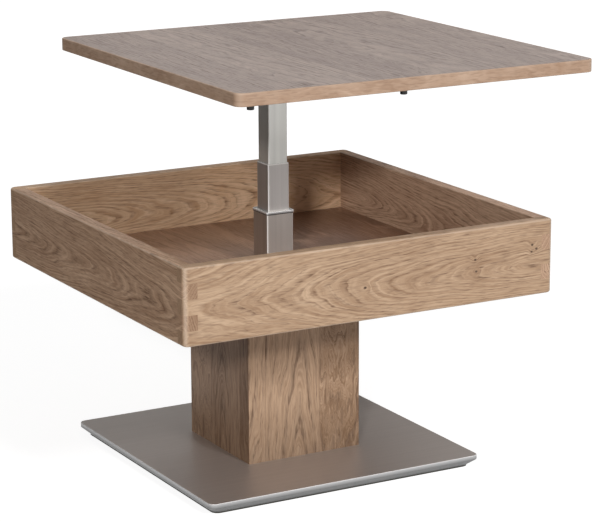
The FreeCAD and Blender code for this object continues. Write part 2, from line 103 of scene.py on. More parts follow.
# Base cover
# A sheet of stainless steel, 1.5 mm thick, folded down over the ballast plate in a narrow lip,
# and in under the lip in a slope. It is glued down, and the four bolts of the column's foot go through it.

SCRATCH_DEPTH = 0.05 * MM
SCRATCHES_IN_BAND = 7
SCRATCH_SHARE = 0.6
ROUGH_SPREAD = 0.07
RIM_BLEND = 0.5 * MM
EDGE_METALLIC = 0.1


def brushed_metal(name, along, tint, edge_highlight_paint, scratch, rough, streak, metallic, fold_light_and_shade=None,
                  highlight_end_from=None):
    """Metal brushed along one axis: fine scratches stretch reflections, and a painted highlight makes
    rounded edges pale and less metallic, so that the lamps light them. edge_highlight_paint is the
    colour of that highlight and the share of it that the edges take, scratch the length and width of the
    scratches, streak how far they vary the tint, fold_light_and_shade the colours of a painted highlight at
    the upper and painted shade at the lower end of a folded edge and the heights of these, and
    highlight_end_from the height above which a tube's end takes the painted highlight too."""
    material, tree, shader = new_material(name)
    edge_colour, edge_share = edge_highlight_paint
    length, width = scratch
    place = add(tree, "TexCoord", {})
    spot = add(tree, "SeparateXYZ", {}, {0: place.outputs["Object"]})

    # Fine scratches, and wider bands of them
    size = [1 / (length if axis == along else width) for axis in "XYZ"]
    stretched = add(tree, "VectorMath", {"operation": "MULTIPLY", 1: size}, {0: place.outputs["Object"]})
    lines = add(tree, "TexNoise", {"Scale": 1.0, "Detail": 3.0, "Roughness": 0.6},
                {"Vector": stretched.outputs[0]})
    wide = add(tree, "VectorMath", {"operation": "MULTIPLY", 1: [s / SCRATCHES_IN_BAND for s in size]},
               {0: place.outputs["Object"]})
    bands = add(tree, "TexNoise", {"Scale": 1.0, "Detail": 2.0}, {"Vector": wide.outputs[0]})
    both = add(tree, "Math", {"operation": "MULTIPLY_ADD", 1: SCRATCH_SHARE},
               {0: lines.outputs["Fac"], 2: bands.outputs["Fac"]})
    grey = add(tree, "MapRange", {"From Min": 0.45, "From Max": 1.15, "To Min": 1 - streak,
                                  "To Max": 1 + streak}, {"Value": both.outputs[0]})
    brushed = add(tree, "VectorMath", {"operation": "SCALE", 0: linear(tint)[:3]},
                  {"Scale": grey.outputs["Result"]})

    # Painted highlight where a face turns away from all three axes, as on a rounded edge, and on a tube's
    # end
    facing = add(tree, "VectorMath", {"operation": "ABSOLUTE"}, {0: place.outputs["Normal"]})
    sides = add(tree, "SeparateXYZ", {}, {0: facing.outputs[0]})
    widest = add(tree, "Math", {"operation": "MAXIMUM"}, {0: sides.outputs["X"], 1: sides.outputs["Y"]})
    squarest = add(tree, "Math", {"operation": "MAXIMUM"}, {0: widest.outputs[0], 1: sides.outputs["Z"]})
    bright = add(tree, "MapRange", {"From Min": 0.985, "From Max": 0.85, "To Max": edge_share},
                 {"Value": squarest.outputs[0]}).outputs[0]
    if highlight_end_from:
        rim = add(tree, "MapRange", {"From Min": highlight_end_from, "From Max": highlight_end_from + RIM_BLEND,
                                     "To Max": edge_share}, {"Value": spot.outputs["Z"]})
        bright = add(tree, "Math", {"operation": "MAXIMUM"},
                     {0: bright, 1: rim.outputs["Result"]}).outputs[0]
    shade = add(tree, "Mix", {"data_type": "RGBA", 7: linear(edge_colour)},
                {0: bright, 6: brushed.outputs[0]})

    # A folded edge is painted from a highlight at its upper end to shade at its lower end
    if fold_light_and_shade:
        upper_colour, lower_colour, upper_end, lower_end = fold_light_and_shade
        turned = add(tree, "SeparateXYZ", {}, {0: place.outputs["Normal"]})
        height = add(tree, "MapRange", {"From Min": lower_end, "From Max": upper_end},
                     {"Value": spot.outputs["Z"]})
        bend = add(tree, "Mix", {"data_type": "RGBA", 6: linear(lower_colour), 7: linear(upper_colour)},
                   {0: height.outputs["Result"]})
        aside = add(tree, "MapRange", {"From Min": 0.85, "From Max": 0.35},
                    {"Value": turned.outputs["Z"]})
        shade = add(tree, "Mix", {"data_type": "RGBA"},
                    {0: aside.outputs["Result"], 6: shade.outputs[2], 7: bend.outputs[2]})

    polish = add(tree, "MapRange", {"From Min": 0.3, "From Max": 0.7, "To Min": rough - ROUGH_SPREAD,
                                    "To Max": rough + ROUGH_SPREAD}, {"Value": lines.outputs["Fac"]})
    # The painted highlight also makes those edges nearly matt, so that the lamps light them white
    dulled = add(tree, "MapRange", {"From Max": edge_share, "To Min": metallic, "To Max": EDGE_METALLIC},
                 {"Value": bright})
    scratches = add(tree, "Bump", {"Strength": 0.08, "Distance": SCRATCH_DEPTH},
                    {"Height": lines.outputs["Fac"]})
    tree.links.new(shade.outputs[2], shader.inputs["Base Color"])
    tree.links.new(polish.outputs["Result"], shader.inputs["Roughness"])
    tree.links.new(scratches.outputs["Normal"], shader.inputs["Normal"])
    tree.links.new(dulled.outputs["Result"], shader.inputs["Metallic"])
    return material


# Brushed stainless steel: belt scratches run side to side and blur what stands on it to a satin glow.
# Real scratches are 0.05 mm wide, too fine to show, and are drawn 0.9 mm wide. Its edges take a painted
# highlight, its lip a painted highlight that fades to painted shade below, and its warm tint is partly a
# painted reflection of the oak above it.
BASE_EDGE_HIGHLIGHT = ("#FFFFFF", 0.8)
BASE_SCRATCH = (90 * MM, 0.9 * MM)
BASE_FOLD_LIGHT_AND_SHADE = ("#C4C4C4", "#6C6C6C", 20 * MM, 12 * MM)
base_steel = brushed_metal("brushed_stainless_sheet", "X", "#BAB1AB", BASE_EDGE_HIGHLIGHT, BASE_SCRATCH,
                           rough=0.42, streak=0.05, metallic=0.62, fold_light_and_shade=BASE_FOLD_LIGHT_AND_SHADE)
finish_with(base_steel, "base_cover")


# Column foot
# A steel flange, laser cut and powder coated, that four bolts hold to the ballast plate, with the seat of
# the gas spring in its middle, and the like block that closes the inner tube at the top.

SPECKS_IN_DIMPLE = 3
DIMPLE_DEPTH_SHARE = 0.05
DULL_SPREAD = 0.08


def black_skin(name, dark, pale, rough, dimple):
    """A black finish on steel, or rubber, with a soft gloss that the dimples of its skin break up."""
    material, tree, shader = new_material(name)
    place = add(tree, "TexCoord", {})
    peel = add(tree, "TexNoise", {"Scale": 1 / dimple, "Detail": 1.0},
               {"Vector": place.outputs["Object"]})
    speck = add(tree, "TexNoise", {"Scale": SPECKS_IN_DIMPLE / dimple, "Detail": 2.0},
                {"Vector": place.outputs["Object"]})
    shade = add(tree, "Mix", {"data_type": "RGBA", 6: linear(dark), 7: linear(pale)},
                {0: speck.outputs["Fac"]})
    skin = add(tree, "Bump", {"Strength": 0.25, "Distance": DIMPLE_DEPTH_SHARE * dimple},
               {"Height": peel.outputs["Fac"]})
    dulled = add(tree, "MapRange", {"To Min": rough - DULL_SPREAD, "To Max": rough + DULL_SPREAD},
                 {"Value": speck.outputs["Fac"]})
    tree.links.new(shade.outputs[2], shader.inputs["Base Color"])
    tree.links.new(skin.outputs["Normal"], shader.inputs["Normal"])
    tree.links.new(dulled.outputs["Result"], shader.inputs["Roughness"])
    return material


# Powder coat: baked on as dust, so it has the skin of an orange, about 2 mm from dimple to dimple.
COAT_DIMPLE = 2 * MM
flange_paint = black_skin("black_powder_coat", "#1B1B1C", "#2A2A2B", rough=0.45,
                          dimple=COAT_DIMPLE)
finish_with(flange_paint, "foot_flange", "gas_spring_foot", "head_block")


# Bolts, screws and pins
# Turned and rolled steel, zinc plated and passivated clear: the bolts of the foot and of the glides, the
# screws of the cap plate, the column's head and the rails, and the gland, piston and pins of the lift.

# Bright zinc plating: a thin blue-grey metal with crystals of about 0.8 mm that dull it unevenly.
ZINC_CRYSTAL = 0.8 * MM
ZINC_HAZE = 4 * MM
zinc, tree, shader = new_material("bright_zinc_plating")
place = add(tree, "TexCoord", {})
crystals = add(tree, "TexVoronoi", {"Scale": 1 / ZINC_CRYSTAL}, {"Vector": place.outputs["Object"]})
haze = add(tree, "TexNoise", {"Scale": 1 / ZINC_HAZE, "Detail": 3.0}, {"Vector": place.outputs["Object"]})
shade = add(tree, "Mix", {"data_type": "RGBA", 6: linear("#8B8E92"), 7: linear("#B4B7BA")},
            {0: haze.outputs["Fac"]})
dulled = add(tree, "MapRange", {"To Min": 0.24, "To Max": 0.46}, {"Value": crystals.outputs["Distance"]})
tree.links.new(shade.outputs[2], shader.inputs["Base Color"])
tree.links.new(dulled.outputs["Result"], shader.inputs["Roughness"])
shader.inputs["Metallic"].default_value = 1.0
finish_with(zinc, "flange_bolts", "cap_plate_screws", "gas_spring_gland", "head_screws",
            "gas_spring_piston", "glide_bolts", "lever_pivot_pin", "valve_pin", "rail_screws")


# Pedestal frame
# The wooden skeleton inside the pedestal: a foot frame on the base, a glue block in each corner, and the
# plate above that carries the tray. Sawn from spruce and glued.

# Sawn spruce: pale, dull, with straight rings of about 3 mm and the furry marks of the saw.
# A wave of scale 1 repeats every 0.314 m.
WAVE_REPEAT = 0.314
SPRUCE_RING = 3.0 * MM
SPRUCE_STRETCH = 0.12
SAW_MARK = 0.9 * MM
SAW_DEPTH = 0.2 * MM
spruce, tree, shader = new_material("sawn_spruce")
place = add(tree, "TexCoord", {})
squeezed = add(tree, "VectorMath", {"operation": "MULTIPLY", 1: [1.0, 1.0, SPRUCE_STRETCH]},
               {0: place.outputs["Object"]})
rings = add(tree, "TexWave", {"wave_profile": "SAW", "Scale": WAVE_REPEAT / SPRUCE_RING,
                              "Distortion": 3.0, "Detail": 2.0, "Detail Scale": 0.6},
            {"Vector": squeezed.outputs[0]})
saw_marks = add(tree, "TexNoise", {"Scale": 1 / SAW_MARK, "Detail": 2.0},
                {"Vector": place.outputs["Object"]})
shade = add(tree, "Mix", {"data_type": "RGBA", 6: linear("#C9AC80"), 7: linear("#A98355")},
            {0: rings.outputs["Fac"]})
fur = add(tree, "Bump", {"Strength": 0.4, "Distance": SAW_DEPTH}, {"Height": saw_marks.outputs["Fac"]})
tree.links.new(shade.outputs[2], shader.inputs["Base Color"])
tree.links.new(fur.outputs["Normal"], shader.inputs["Normal"])
shader.inputs["Roughness"].default_value = 0.8
finish_with(spruce, "pedestal_foot_frame", "pedestal_corner_blocks", "pedestal_cap_plate")


# Pedestal panels
# Four upright panels of solid oak, each glued up from three staves and mitred at the corners.
# Planed, sanded and oiled.

# Length along the grain and width across it of oak's patterns: how the grain swings as the tree grew, over
# a hand's width, and ripples over a finger's, how the line of a year breaks up, the pores, and the drifts
# of colour. Real pores, vessels cut open lengthwise, are 0.3 mm wide, too fine to show, and are drawn
# 2.2 mm wide.
OAK_PATTERNS = {"swing": (230 * MM, 70 * MM), "ripple": (80 * MM, 20 * MM), "break": (30 * MM, 4 * MM),
                "pore": (17 * MM, 2.2 * MM), "drift": (260 * MM, 40 * MM)}
SILK_LENGTH = 80 * MM
SILK_WIDTH = 1.8 * MM
SILK_CONTRAST = 2.6
TONE_STEP = 0.7
TONE_OFFSET = -1.65
DECADE_RINGS = 5
# How far apart the staves lie in the noise, so that no two of them grew alike
STAVES_APART = 37.0
# How deep a strip that goes round corners lies, since it has no letter into the board
STRIP_DEPTH = 500 * MM
KNOT_SQUEEZE = 0.8
KNOT_REACH = 4
KNOT_PUSH = 1.2
KNOT_HEART_SHARE = 0.35
KNOT_SHARE = 0.85
GLUE_HALF_WIDTH = 0.5 * MM
GLUE_SHARE = 0.35
SHADE_START_SHARE = -0.3
LINE_HOLLOW_SHARE = 0.5
PORE_DEPTH = 0.3 * MM
OPEN_ROUGHER = 0.15
PORE_BROWN = "#54392A"
GLUE_BROWN = "#5A3E2A"
KNOT_BROWN = "#38241A"
END_GRAIN = "#8A6C53"
EDGE_HIGHLIGHT_OAK = "#E0CBB6"


def oak(name, axes, tilt, ring, wander, seed, colours, rough, staves, knots=(), edge_highlight_share=0.12, painted_top_light=None,
        gloss=0.5, ends=0.3, painted_low_shade=None):
    """Oiled oak. axes are the letters along the grain, across the board and into it, or S and the letter
    across for a strip that goes round corners. The year rings, each about as wide as ring, are circles
    round a pith that lies near the board's face and leans along it by tilt, so that they show on the face
    as straight lines, arches and cathedrals, as on a real board, and swing by wander as the tree grew.
    colours are pale, brown and dark wood and the shares of the year lines and of the pores. Each stave
    has its start across the board, its pith across and into the board, its tone and its ripple, and each
    knot its place along and across and its size. edge_highlight_share is how much paler the eased edges are
    painted, as a highlight, painted_top_light how much brighter the faces that look up are painted, as
    light, and ends how dark the end grain. painted_low_shade is the point along the grain below which the
    wood is painted darker, as shade, and what share of light it leaves there."""
    material, tree, shader = new_material(name)
    pale, brown, dark, line_share, pore_share = colours
    place = add(tree, "TexCoord", {})
    parts = add(tree, "SeparateXYZ", {}, {0: place.outputs["Object"]})
    ways = {axis: parts.outputs[axis] for axis in "XYZ"}
    ways["S"] = add(tree, "Math", {"operation": "ADD"}, {0: ways["X"], 1: ways["Y"]}).outputs[0]
    along, across = ways[axes[0]], ways[axes[1]]
    flow = add(tree, "CombineXYZ", {}, {0: along, 1: across})
    leaned = add(tree, "Math", {"operation": "MULTIPLY_ADD", 1: tilt, 2: STRIP_DEPTH}, {0: along})
    if len(axes) > 2:
        tree.links.new(ways[axes[2]], flow.inputs[2])
        tree.links.new(ways[axes[2]], leaned.inputs[2])
    grain = {}
    for pattern, (length, width) in OAK_PATTERNS.items():
        sizes = (1 / length, 1 / width, 1 / width)
        grain[pattern] = add(tree, "VectorMath", {"operation": "MULTIPLY", 1: sizes},
                             {0: flow.outputs[0]}).outputs[0]

    # Each stave's own pith, tone and ripple, and the glue line between one stave and the next
    start, pith_across, pith_into, tone, ripple = staves[0]
    log = add(tree, "CombineXYZ", {0: pith_across, 1: pith_into, 2: tone}).outputs[0]
    curl = add(tree, "Value", {}).outputs[0]
    curl.default_value = ripple
    joints = []
    for start, pith_across, pith_into, tone, ripple in staves[1:]:
        beyond = add(tree, "Math", {"operation": "GREATER_THAN", 1: start}, {0: across}).outputs[0]
        log = add(tree, "Mix", {"data_type": "VECTOR", 5: (pith_across, pith_into, tone)},
                  {0: beyond, 4: log}).outputs[1]
        curl = add(tree, "Mix", {3: ripple}, {0: beyond, 2: curl}).outputs[0]
        joints.append(add(tree, "Math", {"operation": "COMPARE", 1: start, 2: GLUE_HALF_WIDTH},
                          {0: across}))

    # How the grain swings and ripples
    elsewhere = add(tree, "VectorMath", {"operation": "SCALE", "Scale": STAVES_APART}, {0: log})
    slow_place = add(tree, "VectorMath", {"operation": "ADD"},
                     {0: grain["swing"], 1: elsewhere.outputs[0]})
    slow = add(tree, "TexNoise", {"noise_dimensions": "4D", "W": seed, "Scale": 1.0, "Detail": 1.0},
               {"Vector": slow_place.outputs[0]})
    swing = add(tree, "VectorMath", {"operation": "MULTIPLY_ADD", 1: [wander] * 3, 2: [-wander / 2] * 3},
                {0: slow.outputs["Color"]})
    quick = add(tree, "TexNoise", {"noise_dimensions": "4D", "W": seed + 5.0, "Scale": 1.0,
                                   "Detail": 3.5}, {"Vector": grain["ripple"]})

    # Distance from the pith, counted in years of uneven width, and pushed aside by any knots
    face = add(tree, "CombineXYZ", {}, {0: across, 1: leaned.outputs[0]})
    swung = add(tree, "VectorMath", {"operation": "ADD"}, {0: face.outputs[0], 1: swing.outputs[0]})
    from_pith = add(tree, "VectorMath", {"operation": "SUBTRACT"}, {0: swung.outputs[0], 1: log})
    flat = add(tree, "VectorMath", {"operation": "MULTIPLY", 1: (1.0, 1.0, 0.0)},
               {0: from_pith.outputs[0]})
    reach = add(tree, "VectorMath", {"operation": "LENGTH"}, {0: flat.outputs[0]})
    decade = add(tree, "TexNoise", {"noise_dimensions": "1D", "Scale": 1 / (DECADE_RINGS * ring),
                                    "Detail": 1.0}, {"W": reach.outputs["Value"]})
    aged = add(tree, "Math", {"operation": "MULTIPLY_ADD", 1: 1 / ring},
               {0: reach.outputs["Value"], 2: decade.outputs["Fac"]})
    years = add(tree, "Math", {"operation": "MULTIPLY_ADD"},
                {0: quick.outputs["Fac"], 1: curl, 2: aged.outputs[0]})
    hearts = []
    for knot_along, knot_across, knot_size in knots:
        apart = add(tree, "VectorMath", {"operation": "SUBTRACT", 1: (knot_along, knot_across, 0.0)},
                    {0: flow.outputs[0]})
        squeezed = add(tree, "VectorMath", {"operation": "MULTIPLY", 1: (KNOT_SQUEEZE, 1.0, 0.0)},
                       {0: apart.outputs[0]})
        away = add(tree, "VectorMath", {"operation": "LENGTH"}, {0: squeezed.outputs[0]})
        push = add(tree, "MapRange", {"interpolation_type": "SMOOTHSTEP",
                                      "From Max": KNOT_REACH * knot_size, "To Min": KNOT_PUSH,
                                      "To Max": 0.0}, {"Value": away.outputs["Value"]})
        years = add(tree, "Math", {"operation": "ADD"}, {0: years.outputs[0], 1: push.outputs["Result"]})
        heart = add(tree, "MapRange", {"interpolation_type": "SMOOTHSTEP",
                                       "From Min": KNOT_HEART_SHARE * knot_size, "From Max": knot_size,
                                       "To Min": KNOT_SHARE, "To Max": 0.0},
                    {"Value": away.outputs["Value"]})
        hearts.append(heart)

    # Each year starts with a dark open line that fades into the dense later wood, in some years more than
    # in others, and the line breaks up along its length
    year = add(tree, "Math", {"operation": "FLOOR"}, {0: years.outputs[0]})
    season = add(tree, "Math", {"operation": "FRACT"}, {0: years.outputs[0]})
    fade = add(tree, "MapRange", {"interpolation_type": "SMOOTHSTEP", "From Min": 0.02, "From Max": 0.5,
                                  "To Min": 1.0, "To Max": 0.0}, {"Value": season.outputs[0]})
    onset = add(tree, "MapRange", {"interpolation_type": "SMOOTHSTEP", "From Min": 0.86, "From Max": 1.0},
                {"Value": season.outputs[0]})
    dark_line = add(tree, "Math", {"operation": "MAXIMUM"},
                    {0: fade.outputs["Result"], 1: onset.outputs["Result"]})
    weather = add(tree, "TexWhiteNoise", {"noise_dimensions": "1D"}, {"W": year.outputs[0]})
    growth = add(tree, "MapRange", {"To Min": 0.15, "To Max": 1.0}, {"Value": weather.outputs["Value"]})
    strong = add(tree, "Math", {"operation": "MULTIPLY"},
                 {0: dark_line.outputs[0], 1: growth.outputs["Result"]})
    breaks = add(tree, "TexNoise", {"noise_dimensions": "4D", "W": seed + 2.0, "Scale": 1.0,
                                    "Detail": 2.0}, {"Vector": grain["break"]})
    kept = add(tree, "MapRange", {"From Min": 0.34, "From Max": 0.62, "To Min": 0.05, "To Max": 1.0},
               {"Value": breaks.outputs["Fac"]})
    early = add(tree, "Math", {"operation": "MULTIPLY"},
                {0: strong.outputs[0], 1: kept.outputs["Result"]})

    # Pores crowd in the open wood that starts a year
    vessel = add(tree, "TexNoise", {"Scale": 1.0, "Detail": 1.0}, {"Vector": grain["pore"]})
    open_pore = add(tree, "MapRange", {"interpolation_type": "SMOOTHSTEP", "From Min": 0.5,
                                       "From Max": 0.68}, {"Value": vessel.outputs["Fac"]})
    crowd = add(tree, "MapRange", {"To Min": 0.35, "To Max": 1.0}, {"Value": early.outputs[0]})
    pore = add(tree, "Math", {"operation": "MULTIPLY"},
               {0: open_pore.outputs["Result"], 1: crowd.outputs["Result"]})

    # Colour: broad drifts, silky streaks and the stave's own tone, then the year lines, the pores, the
    # glue lines and the knots
    drift = add(tree, "TexNoise", {"noise_dimensions": "4D", "W": seed + 9.0, "Scale": 1.0,
                                   "Detail": 2.0}, {"Vector": grain["drift"]})
    strands = add(tree, "Math", {"operation": "MULTIPLY", 1: ring / SILK_WIDTH}, {0: years.outputs[0]})
    combed = add(tree, "CombineXYZ", {}, {0: along, 1: strands.outputs[0]})
    silk_place = add(tree, "VectorMath", {"operation": "MULTIPLY", 1: (1 / SILK_LENGTH, 1.0, 1.0)},
                     {0: combed.outputs[0]})
    silk = add(tree, "TexNoise", {"Scale": 1.0, "Detail": 3.0, "Roughness": 0.6},
               {"Vector": silk_place.outputs[0]})
    own = add(tree, "SeparateXYZ", {}, {0: log})
    stave_tone = add(tree, "Math", {"operation": "MULTIPLY_ADD", 1: TONE_STEP, 2: TONE_OFFSET},
                     {0: own.outputs["Z"]})
    tones = add(tree, "Math", {"operation": "ADD"}, {0: drift.outputs["Fac"], 1: stave_tone.outputs[0]})
    mood = add(tree, "Math", {"operation": "MULTIPLY_ADD", 1: SILK_CONTRAST, "use_clamp": True},
               {0: silk.outputs["Fac"], 2: tones.outputs[0]})
    ground = add(tree, "Mix", {"data_type": "RGBA", 6: linear(pale), 7: linear(brown)},
                 {0: mood.outputs[0]})
    lines_share = add(tree, "Math", {"operation": "MULTIPLY", 1: line_share}, {0: early.outputs[0]})
    lined = add(tree, "Mix", {"data_type": "RGBA", 7: linear(dark)},
                {0: lines_share.outputs[0], 6: ground.outputs[2]})
    pores_share = add(tree, "Math", {"operation": "MULTIPLY", 1: pore_share}, {0: pore.outputs[0]})
    timber = add(tree, "Mix", {"data_type": "RGBA", 7: linear(PORE_BROWN)},
                 {0: pores_share.outputs[0], 6: lined.outputs[2]}).outputs[2]
    for joint in joints:
        glue = add(tree, "Math", {"operation": "MULTIPLY", 1: GLUE_SHARE}, {0: joint.outputs[0]})
        timber = add(tree, "Mix", {"data_type": "RGBA", 7: linear(GLUE_BROWN)},
                     {0: glue.outputs[0], 6: timber}).outputs[2]
    for heart in hearts:
        timber = add(tree, "Mix", {"data_type": "RGBA", 7: linear(KNOT_BROWN)},
                     {0: heart.outputs["Result"], 6: timber}).outputs[2]

    # Darker end grain, painted shade low along the grain, painted light on faces that look up, and a
    # painted highlight that makes the eased edges paler
    facing = add(tree, "VectorMath", {"operation": "ABSOLUTE"}, {0: place.outputs["Normal"]})
    sides = add(tree, "SeparateXYZ", {}, {0: facing.outputs[0]})
    if axes[0] != "S":
        end_share = add(tree, "MapRange", {"From Min": 0.93, "From Max": 1.0, "To Max": ends},
                        {"Value": sides.outputs[axes[0]]})
        timber = add(tree, "Mix", {"data_type": "RGBA", 7: linear(END_GRAIN)},
                     {0: end_share.outputs["Result"], 6: timber}).outputs[2]
    # Painted shade: the wood is made darker low along the grain
    if painted_low_shade:
        shade_until, light_left = painted_low_shade
        low_shade = add(tree, "MapRange", {"interpolation_type": "SMOOTHSTEP",
                                       "From Min": SHADE_START_SHARE * shade_until, "From Max": shade_until,
                                       "To Min": light_left, "To Max": 1.0}, {"Value": along})
        timber = add(tree, "VectorMath", {"operation": "SCALE"},
                     {0: timber, "Scale": low_shade.outputs["Result"]}).outputs[0]
    # Painted light: faces that look up are made brighter
    if painted_top_light:
        upper = add(tree, "MapRange", {"From Min": 0.75, "From Max": 0.97, "To Min": 1.0,
                                       "To Max": painted_top_light}, {"Value": sides.outputs["Z"]})
        timber = add(tree, "VectorMath", {"operation": "SCALE"},
                     {0: timber, "Scale": upper.outputs["Result"]}).outputs[0]
    # Painted highlight: the eased edges are made paler
    widest = add(tree, "Math", {"operation": "MAXIMUM"}, {0: sides.outputs["X"], 1: sides.outputs["Y"]})
    squarest = add(tree, "Math", {"operation": "MAXIMUM"}, {0: widest.outputs[0], 1: sides.outputs["Z"]})
    rubbed = add(tree, "MapRange", {"From Min": 0.98, "From Max": 0.8, "To Max": edge_highlight_share},
                 {"Value": squarest.outputs[0]})
    eased = add(tree, "Mix", {"data_type": "RGBA", 7: linear(EDGE_HIGHLIGHT_OAK)},
                {0: rubbed.outputs["Result"], 6: timber})

    # Relief: the open wood wears lower under the sander, and scatters more
    hollow = add(tree, "Math", {"operation": "MULTIPLY_ADD", 1: LINE_HOLLOW_SHARE},
                 {0: early.outputs[0], 2: pore.outputs[0]})
    relief = add(tree, "Bump", {"Strength": 0.35, "Distance": PORE_DEPTH, "invert": True},
                 {"Height": hollow.outputs[0]})
    dulled = add(tree, "MapRange", {"To Min": rough, "To Max": rough + OPEN_ROUGHER},
                 {"Value": hollow.outputs[0]})
    tree.links.new(eased.outputs[2], shader.inputs["Base Color"])
    tree.links.new(relief.outputs["Normal"], shader.inputs["Normal"])
    tree.links.new(dulled.outputs["Result"], shader.inputs["Roughness"])
    shader.inputs["Specular IOR Level"].default_value = gloss
    return material


# Oiled oak: planed and sanded, then wiped with oil, which leaves a low sheen and darkens the open pores.
# Each panel has a narrow stave, a wide one with a tall arch, and one with a curly figure. The front and the
# back start with the paler staves, and the sides with the browner ones. Each panel is painted darker
# towards its foot, as shade, and the side panels are painted darker all over, as shade.
PEDESTAL_FRONT = ("#BA9C81", "#896A4F", "#40291D", 0.6, 0.55)
# The side panels' colours are darker than the front's: painted shade.
PEDESTAL_SIDE_SHADED = ("#A3876F", "#735741", "#3A261B", 0.6, 0.55)
FRONT_TONES = (0.1, 0.2, 0.6)
SIDE_TONES = (1.0, 0.5, 0.2)
FRONT_PAINTED_SHADE = (140 * MM, 0.5)
SIDE_PAINTED_SHADE = (60 * MM, 0.95)
PEDESTAL_HALF = 102.5 * MM
PANEL_LEAN = 0.16
PANEL_RING = 14 * MM
PANEL_WANDER = 22 * MM
# Where each stave starts across the panel, its pith across the panel and behind the face, and its ripple
PANEL_STAVES = ((-110 * MM, -112 * MM, 30 * MM, 1.4),
                (-72.3 * MM, -11 * MM, 3 * MM, 1.1),
                (27.7 * MM, 60 * MM, 46 * MM, 4.0))
for side, axes, face, seed, colours, tones, painted_low_shade in (
        ("front", "ZXY", -PEDESTAL_HALF, 3.0, PEDESTAL_FRONT, FRONT_TONES, FRONT_PAINTED_SHADE),
        ("back", "ZXY", PEDESTAL_HALF, 5.0, PEDESTAL_FRONT, FRONT_TONES, FRONT_PAINTED_SHADE),
        ("left", "ZYX", -PEDESTAL_HALF, 8.0, PEDESTAL_SIDE_SHADED, SIDE_TONES, SIDE_PAINTED_SHADE),
        ("right", "ZYX", PEDESTAL_HALF, 13.0, PEDESTAL_SIDE_SHADED, SIDE_TONES, SIDE_PAINTED_SHADE)):
    inward = -math.copysign(1.0, face)
    panel_staves = [(start, pith, face + depth * inward, tone, ripple)
                    for (start, pith, depth, ripple), tone in zip(PANEL_STAVES, tones)]
    panel_oak = oak("oiled_oak_pedestal_" + side, axes, PANEL_LEAN * inward, PANEL_RING, PANEL_WANDER,
                    seed, colours, rough=0.5, staves=panel_staves, edge_highlight_share=0.0, gloss=0.35, painted_low_shade=painted_low_shade)
    finish_with(panel_oak, "pedestal_" + side)


# Tray walls
# Four walls of solid oak, each one wide flat-sawn board, finger jointed and glued at the corners and
# grooved for the floor. Planed, sanded and oiled, with the edges eased by hand.

# Oiled oak, as on the pedestal, with close rings that show as cathedrals and a few pin knots in the front
# board. The back and right boards, whose inner faces lie in shade, are painted paler, as light; the back
# board is painted darker towards its left end, as shade; the rims are painted brighter, as light, and the
# eased edges paler, as a highlight.
TRAY_FRONT = ("#C8AA8D", "#A08064", "#62422C", 0.65, 0.6)
TRAY_SIDE = ("#C6A589", "#98765C", "#5C402C", 0.65, 0.6)
# The right and back boards' paler colours are painted light for their shaded inner faces.
TRAY_RIGHT_LIT = ("#D4B296", "#A5826A", "#664833", 0.75, 0.5)
TRAY_BACK_LIT = ("#E2C09F", "#BF9874", "#7E583B", 0.75, 0.5)
BACK_PAINTED_SHADE = (60 * MM, 0.84)
# The rims are painted brighter, as light
RIM_PAINTED_LIGHT = 1.25
TRAY_HALF = 325 * MM
TRAY_INSIDE = 303 * MM
BOARD_RING = 3.9 * MM
BOARD_WANDER = 25 * MM
BOARD_TONE = 0.5
BOARD_RIPPLE = 2.0
PITH_HEIGHT = 352 * MM
PITH_DEPTH = 38 * MM
PIN_KNOTS = [(along * MM, up * MM, size * MM) for along, up, size in
             ((285, 382, 2.8), (293, 375, 2.8), (284, 371, 2.3),
              (178.5, 371, 2.6), (180.5, 352, 2.3), (-19.5, 352, 2.8))]
for side, axes, face, tilt, seed, colours, knots, ends, painted_low_shade in (
        ("front", "XZY", -TRAY_HALF, 0.11, 2.0, TRAY_FRONT, PIN_KNOTS, 0.5, None),
        ("back", "XZY", TRAY_INSIDE, -0.12, 4.0, TRAY_BACK_LIT, (), 0.5, BACK_PAINTED_SHADE),
        ("left", "YZX", -TRAY_HALF, 0.09, 16.0, TRAY_SIDE, (), 0.5, None),
        ("right", "YZX", TRAY_INSIDE, 0.10, 7.0, TRAY_RIGHT_LIT, (), 0.2, None)):
    board = [(0.0, PITH_HEIGHT, face + PITH_DEPTH, BOARD_TONE, BOARD_RIPPLE)]
    board_oak = oak("oiled_oak_tray_" + side, axes, tilt, BOARD_RING, BOARD_WANDER, seed, colours,
                    rough=0.46, staves=board, knots=knots, edge_highlight_share=0.35, painted_top_light=RIM_PAINTED_LIGHT, gloss=0.35,
                    ends=ends, painted_low_shade=painted_low_shade)
    finish_with(board_oak, "tray_" + side)


# Tray floor
# An oak panel glued up from six staves and tongued into the walls, with a square hole for the column.
# Planed, sanded and oiled before the walls were closed round it.

# Oiled oak, sanded smoother than the walls and darker, so it has a soft gloss and a quiet figure. The
# staves right of the column are darker still: a painted shadow of the top.
FLOOR_OAK = ("#AE886E", "#76543F", "#5E402D", 0.35, 0.25)
FLOOR_PITH = 250 * MM
FLOOR_LEAN = 0.02
FLOOR_RING = 4 * MM
FLOOR_WANDER = 14 * MM
FLOOR_RIPPLE = 1.5
# The last three staves, right of the column, take darker tones: a painted shadow of the top.
floor_staves = [(start * MM, (start + shift) * MM, FLOOR_PITH, tone, FLOOR_RIPPLE)
                for start, shift, tone in
                ((-330, 40, 0.1), (-210, 90, 0.0), (-80, 20, 0.1), (40, 70, 0.75), (130, 30, 1.15),
                 (230, 60, 1.1))]
floor_oak = oak("oiled_oak_floor", "YXZ", FLOOR_LEAN, FLOOR_RING, FLOOR_WANDER, seed=11.0,
                colours=FLOOR_OAK, rough=0.34, staves=floor_staves)
finish_with(floor_oak, "tray_floor")


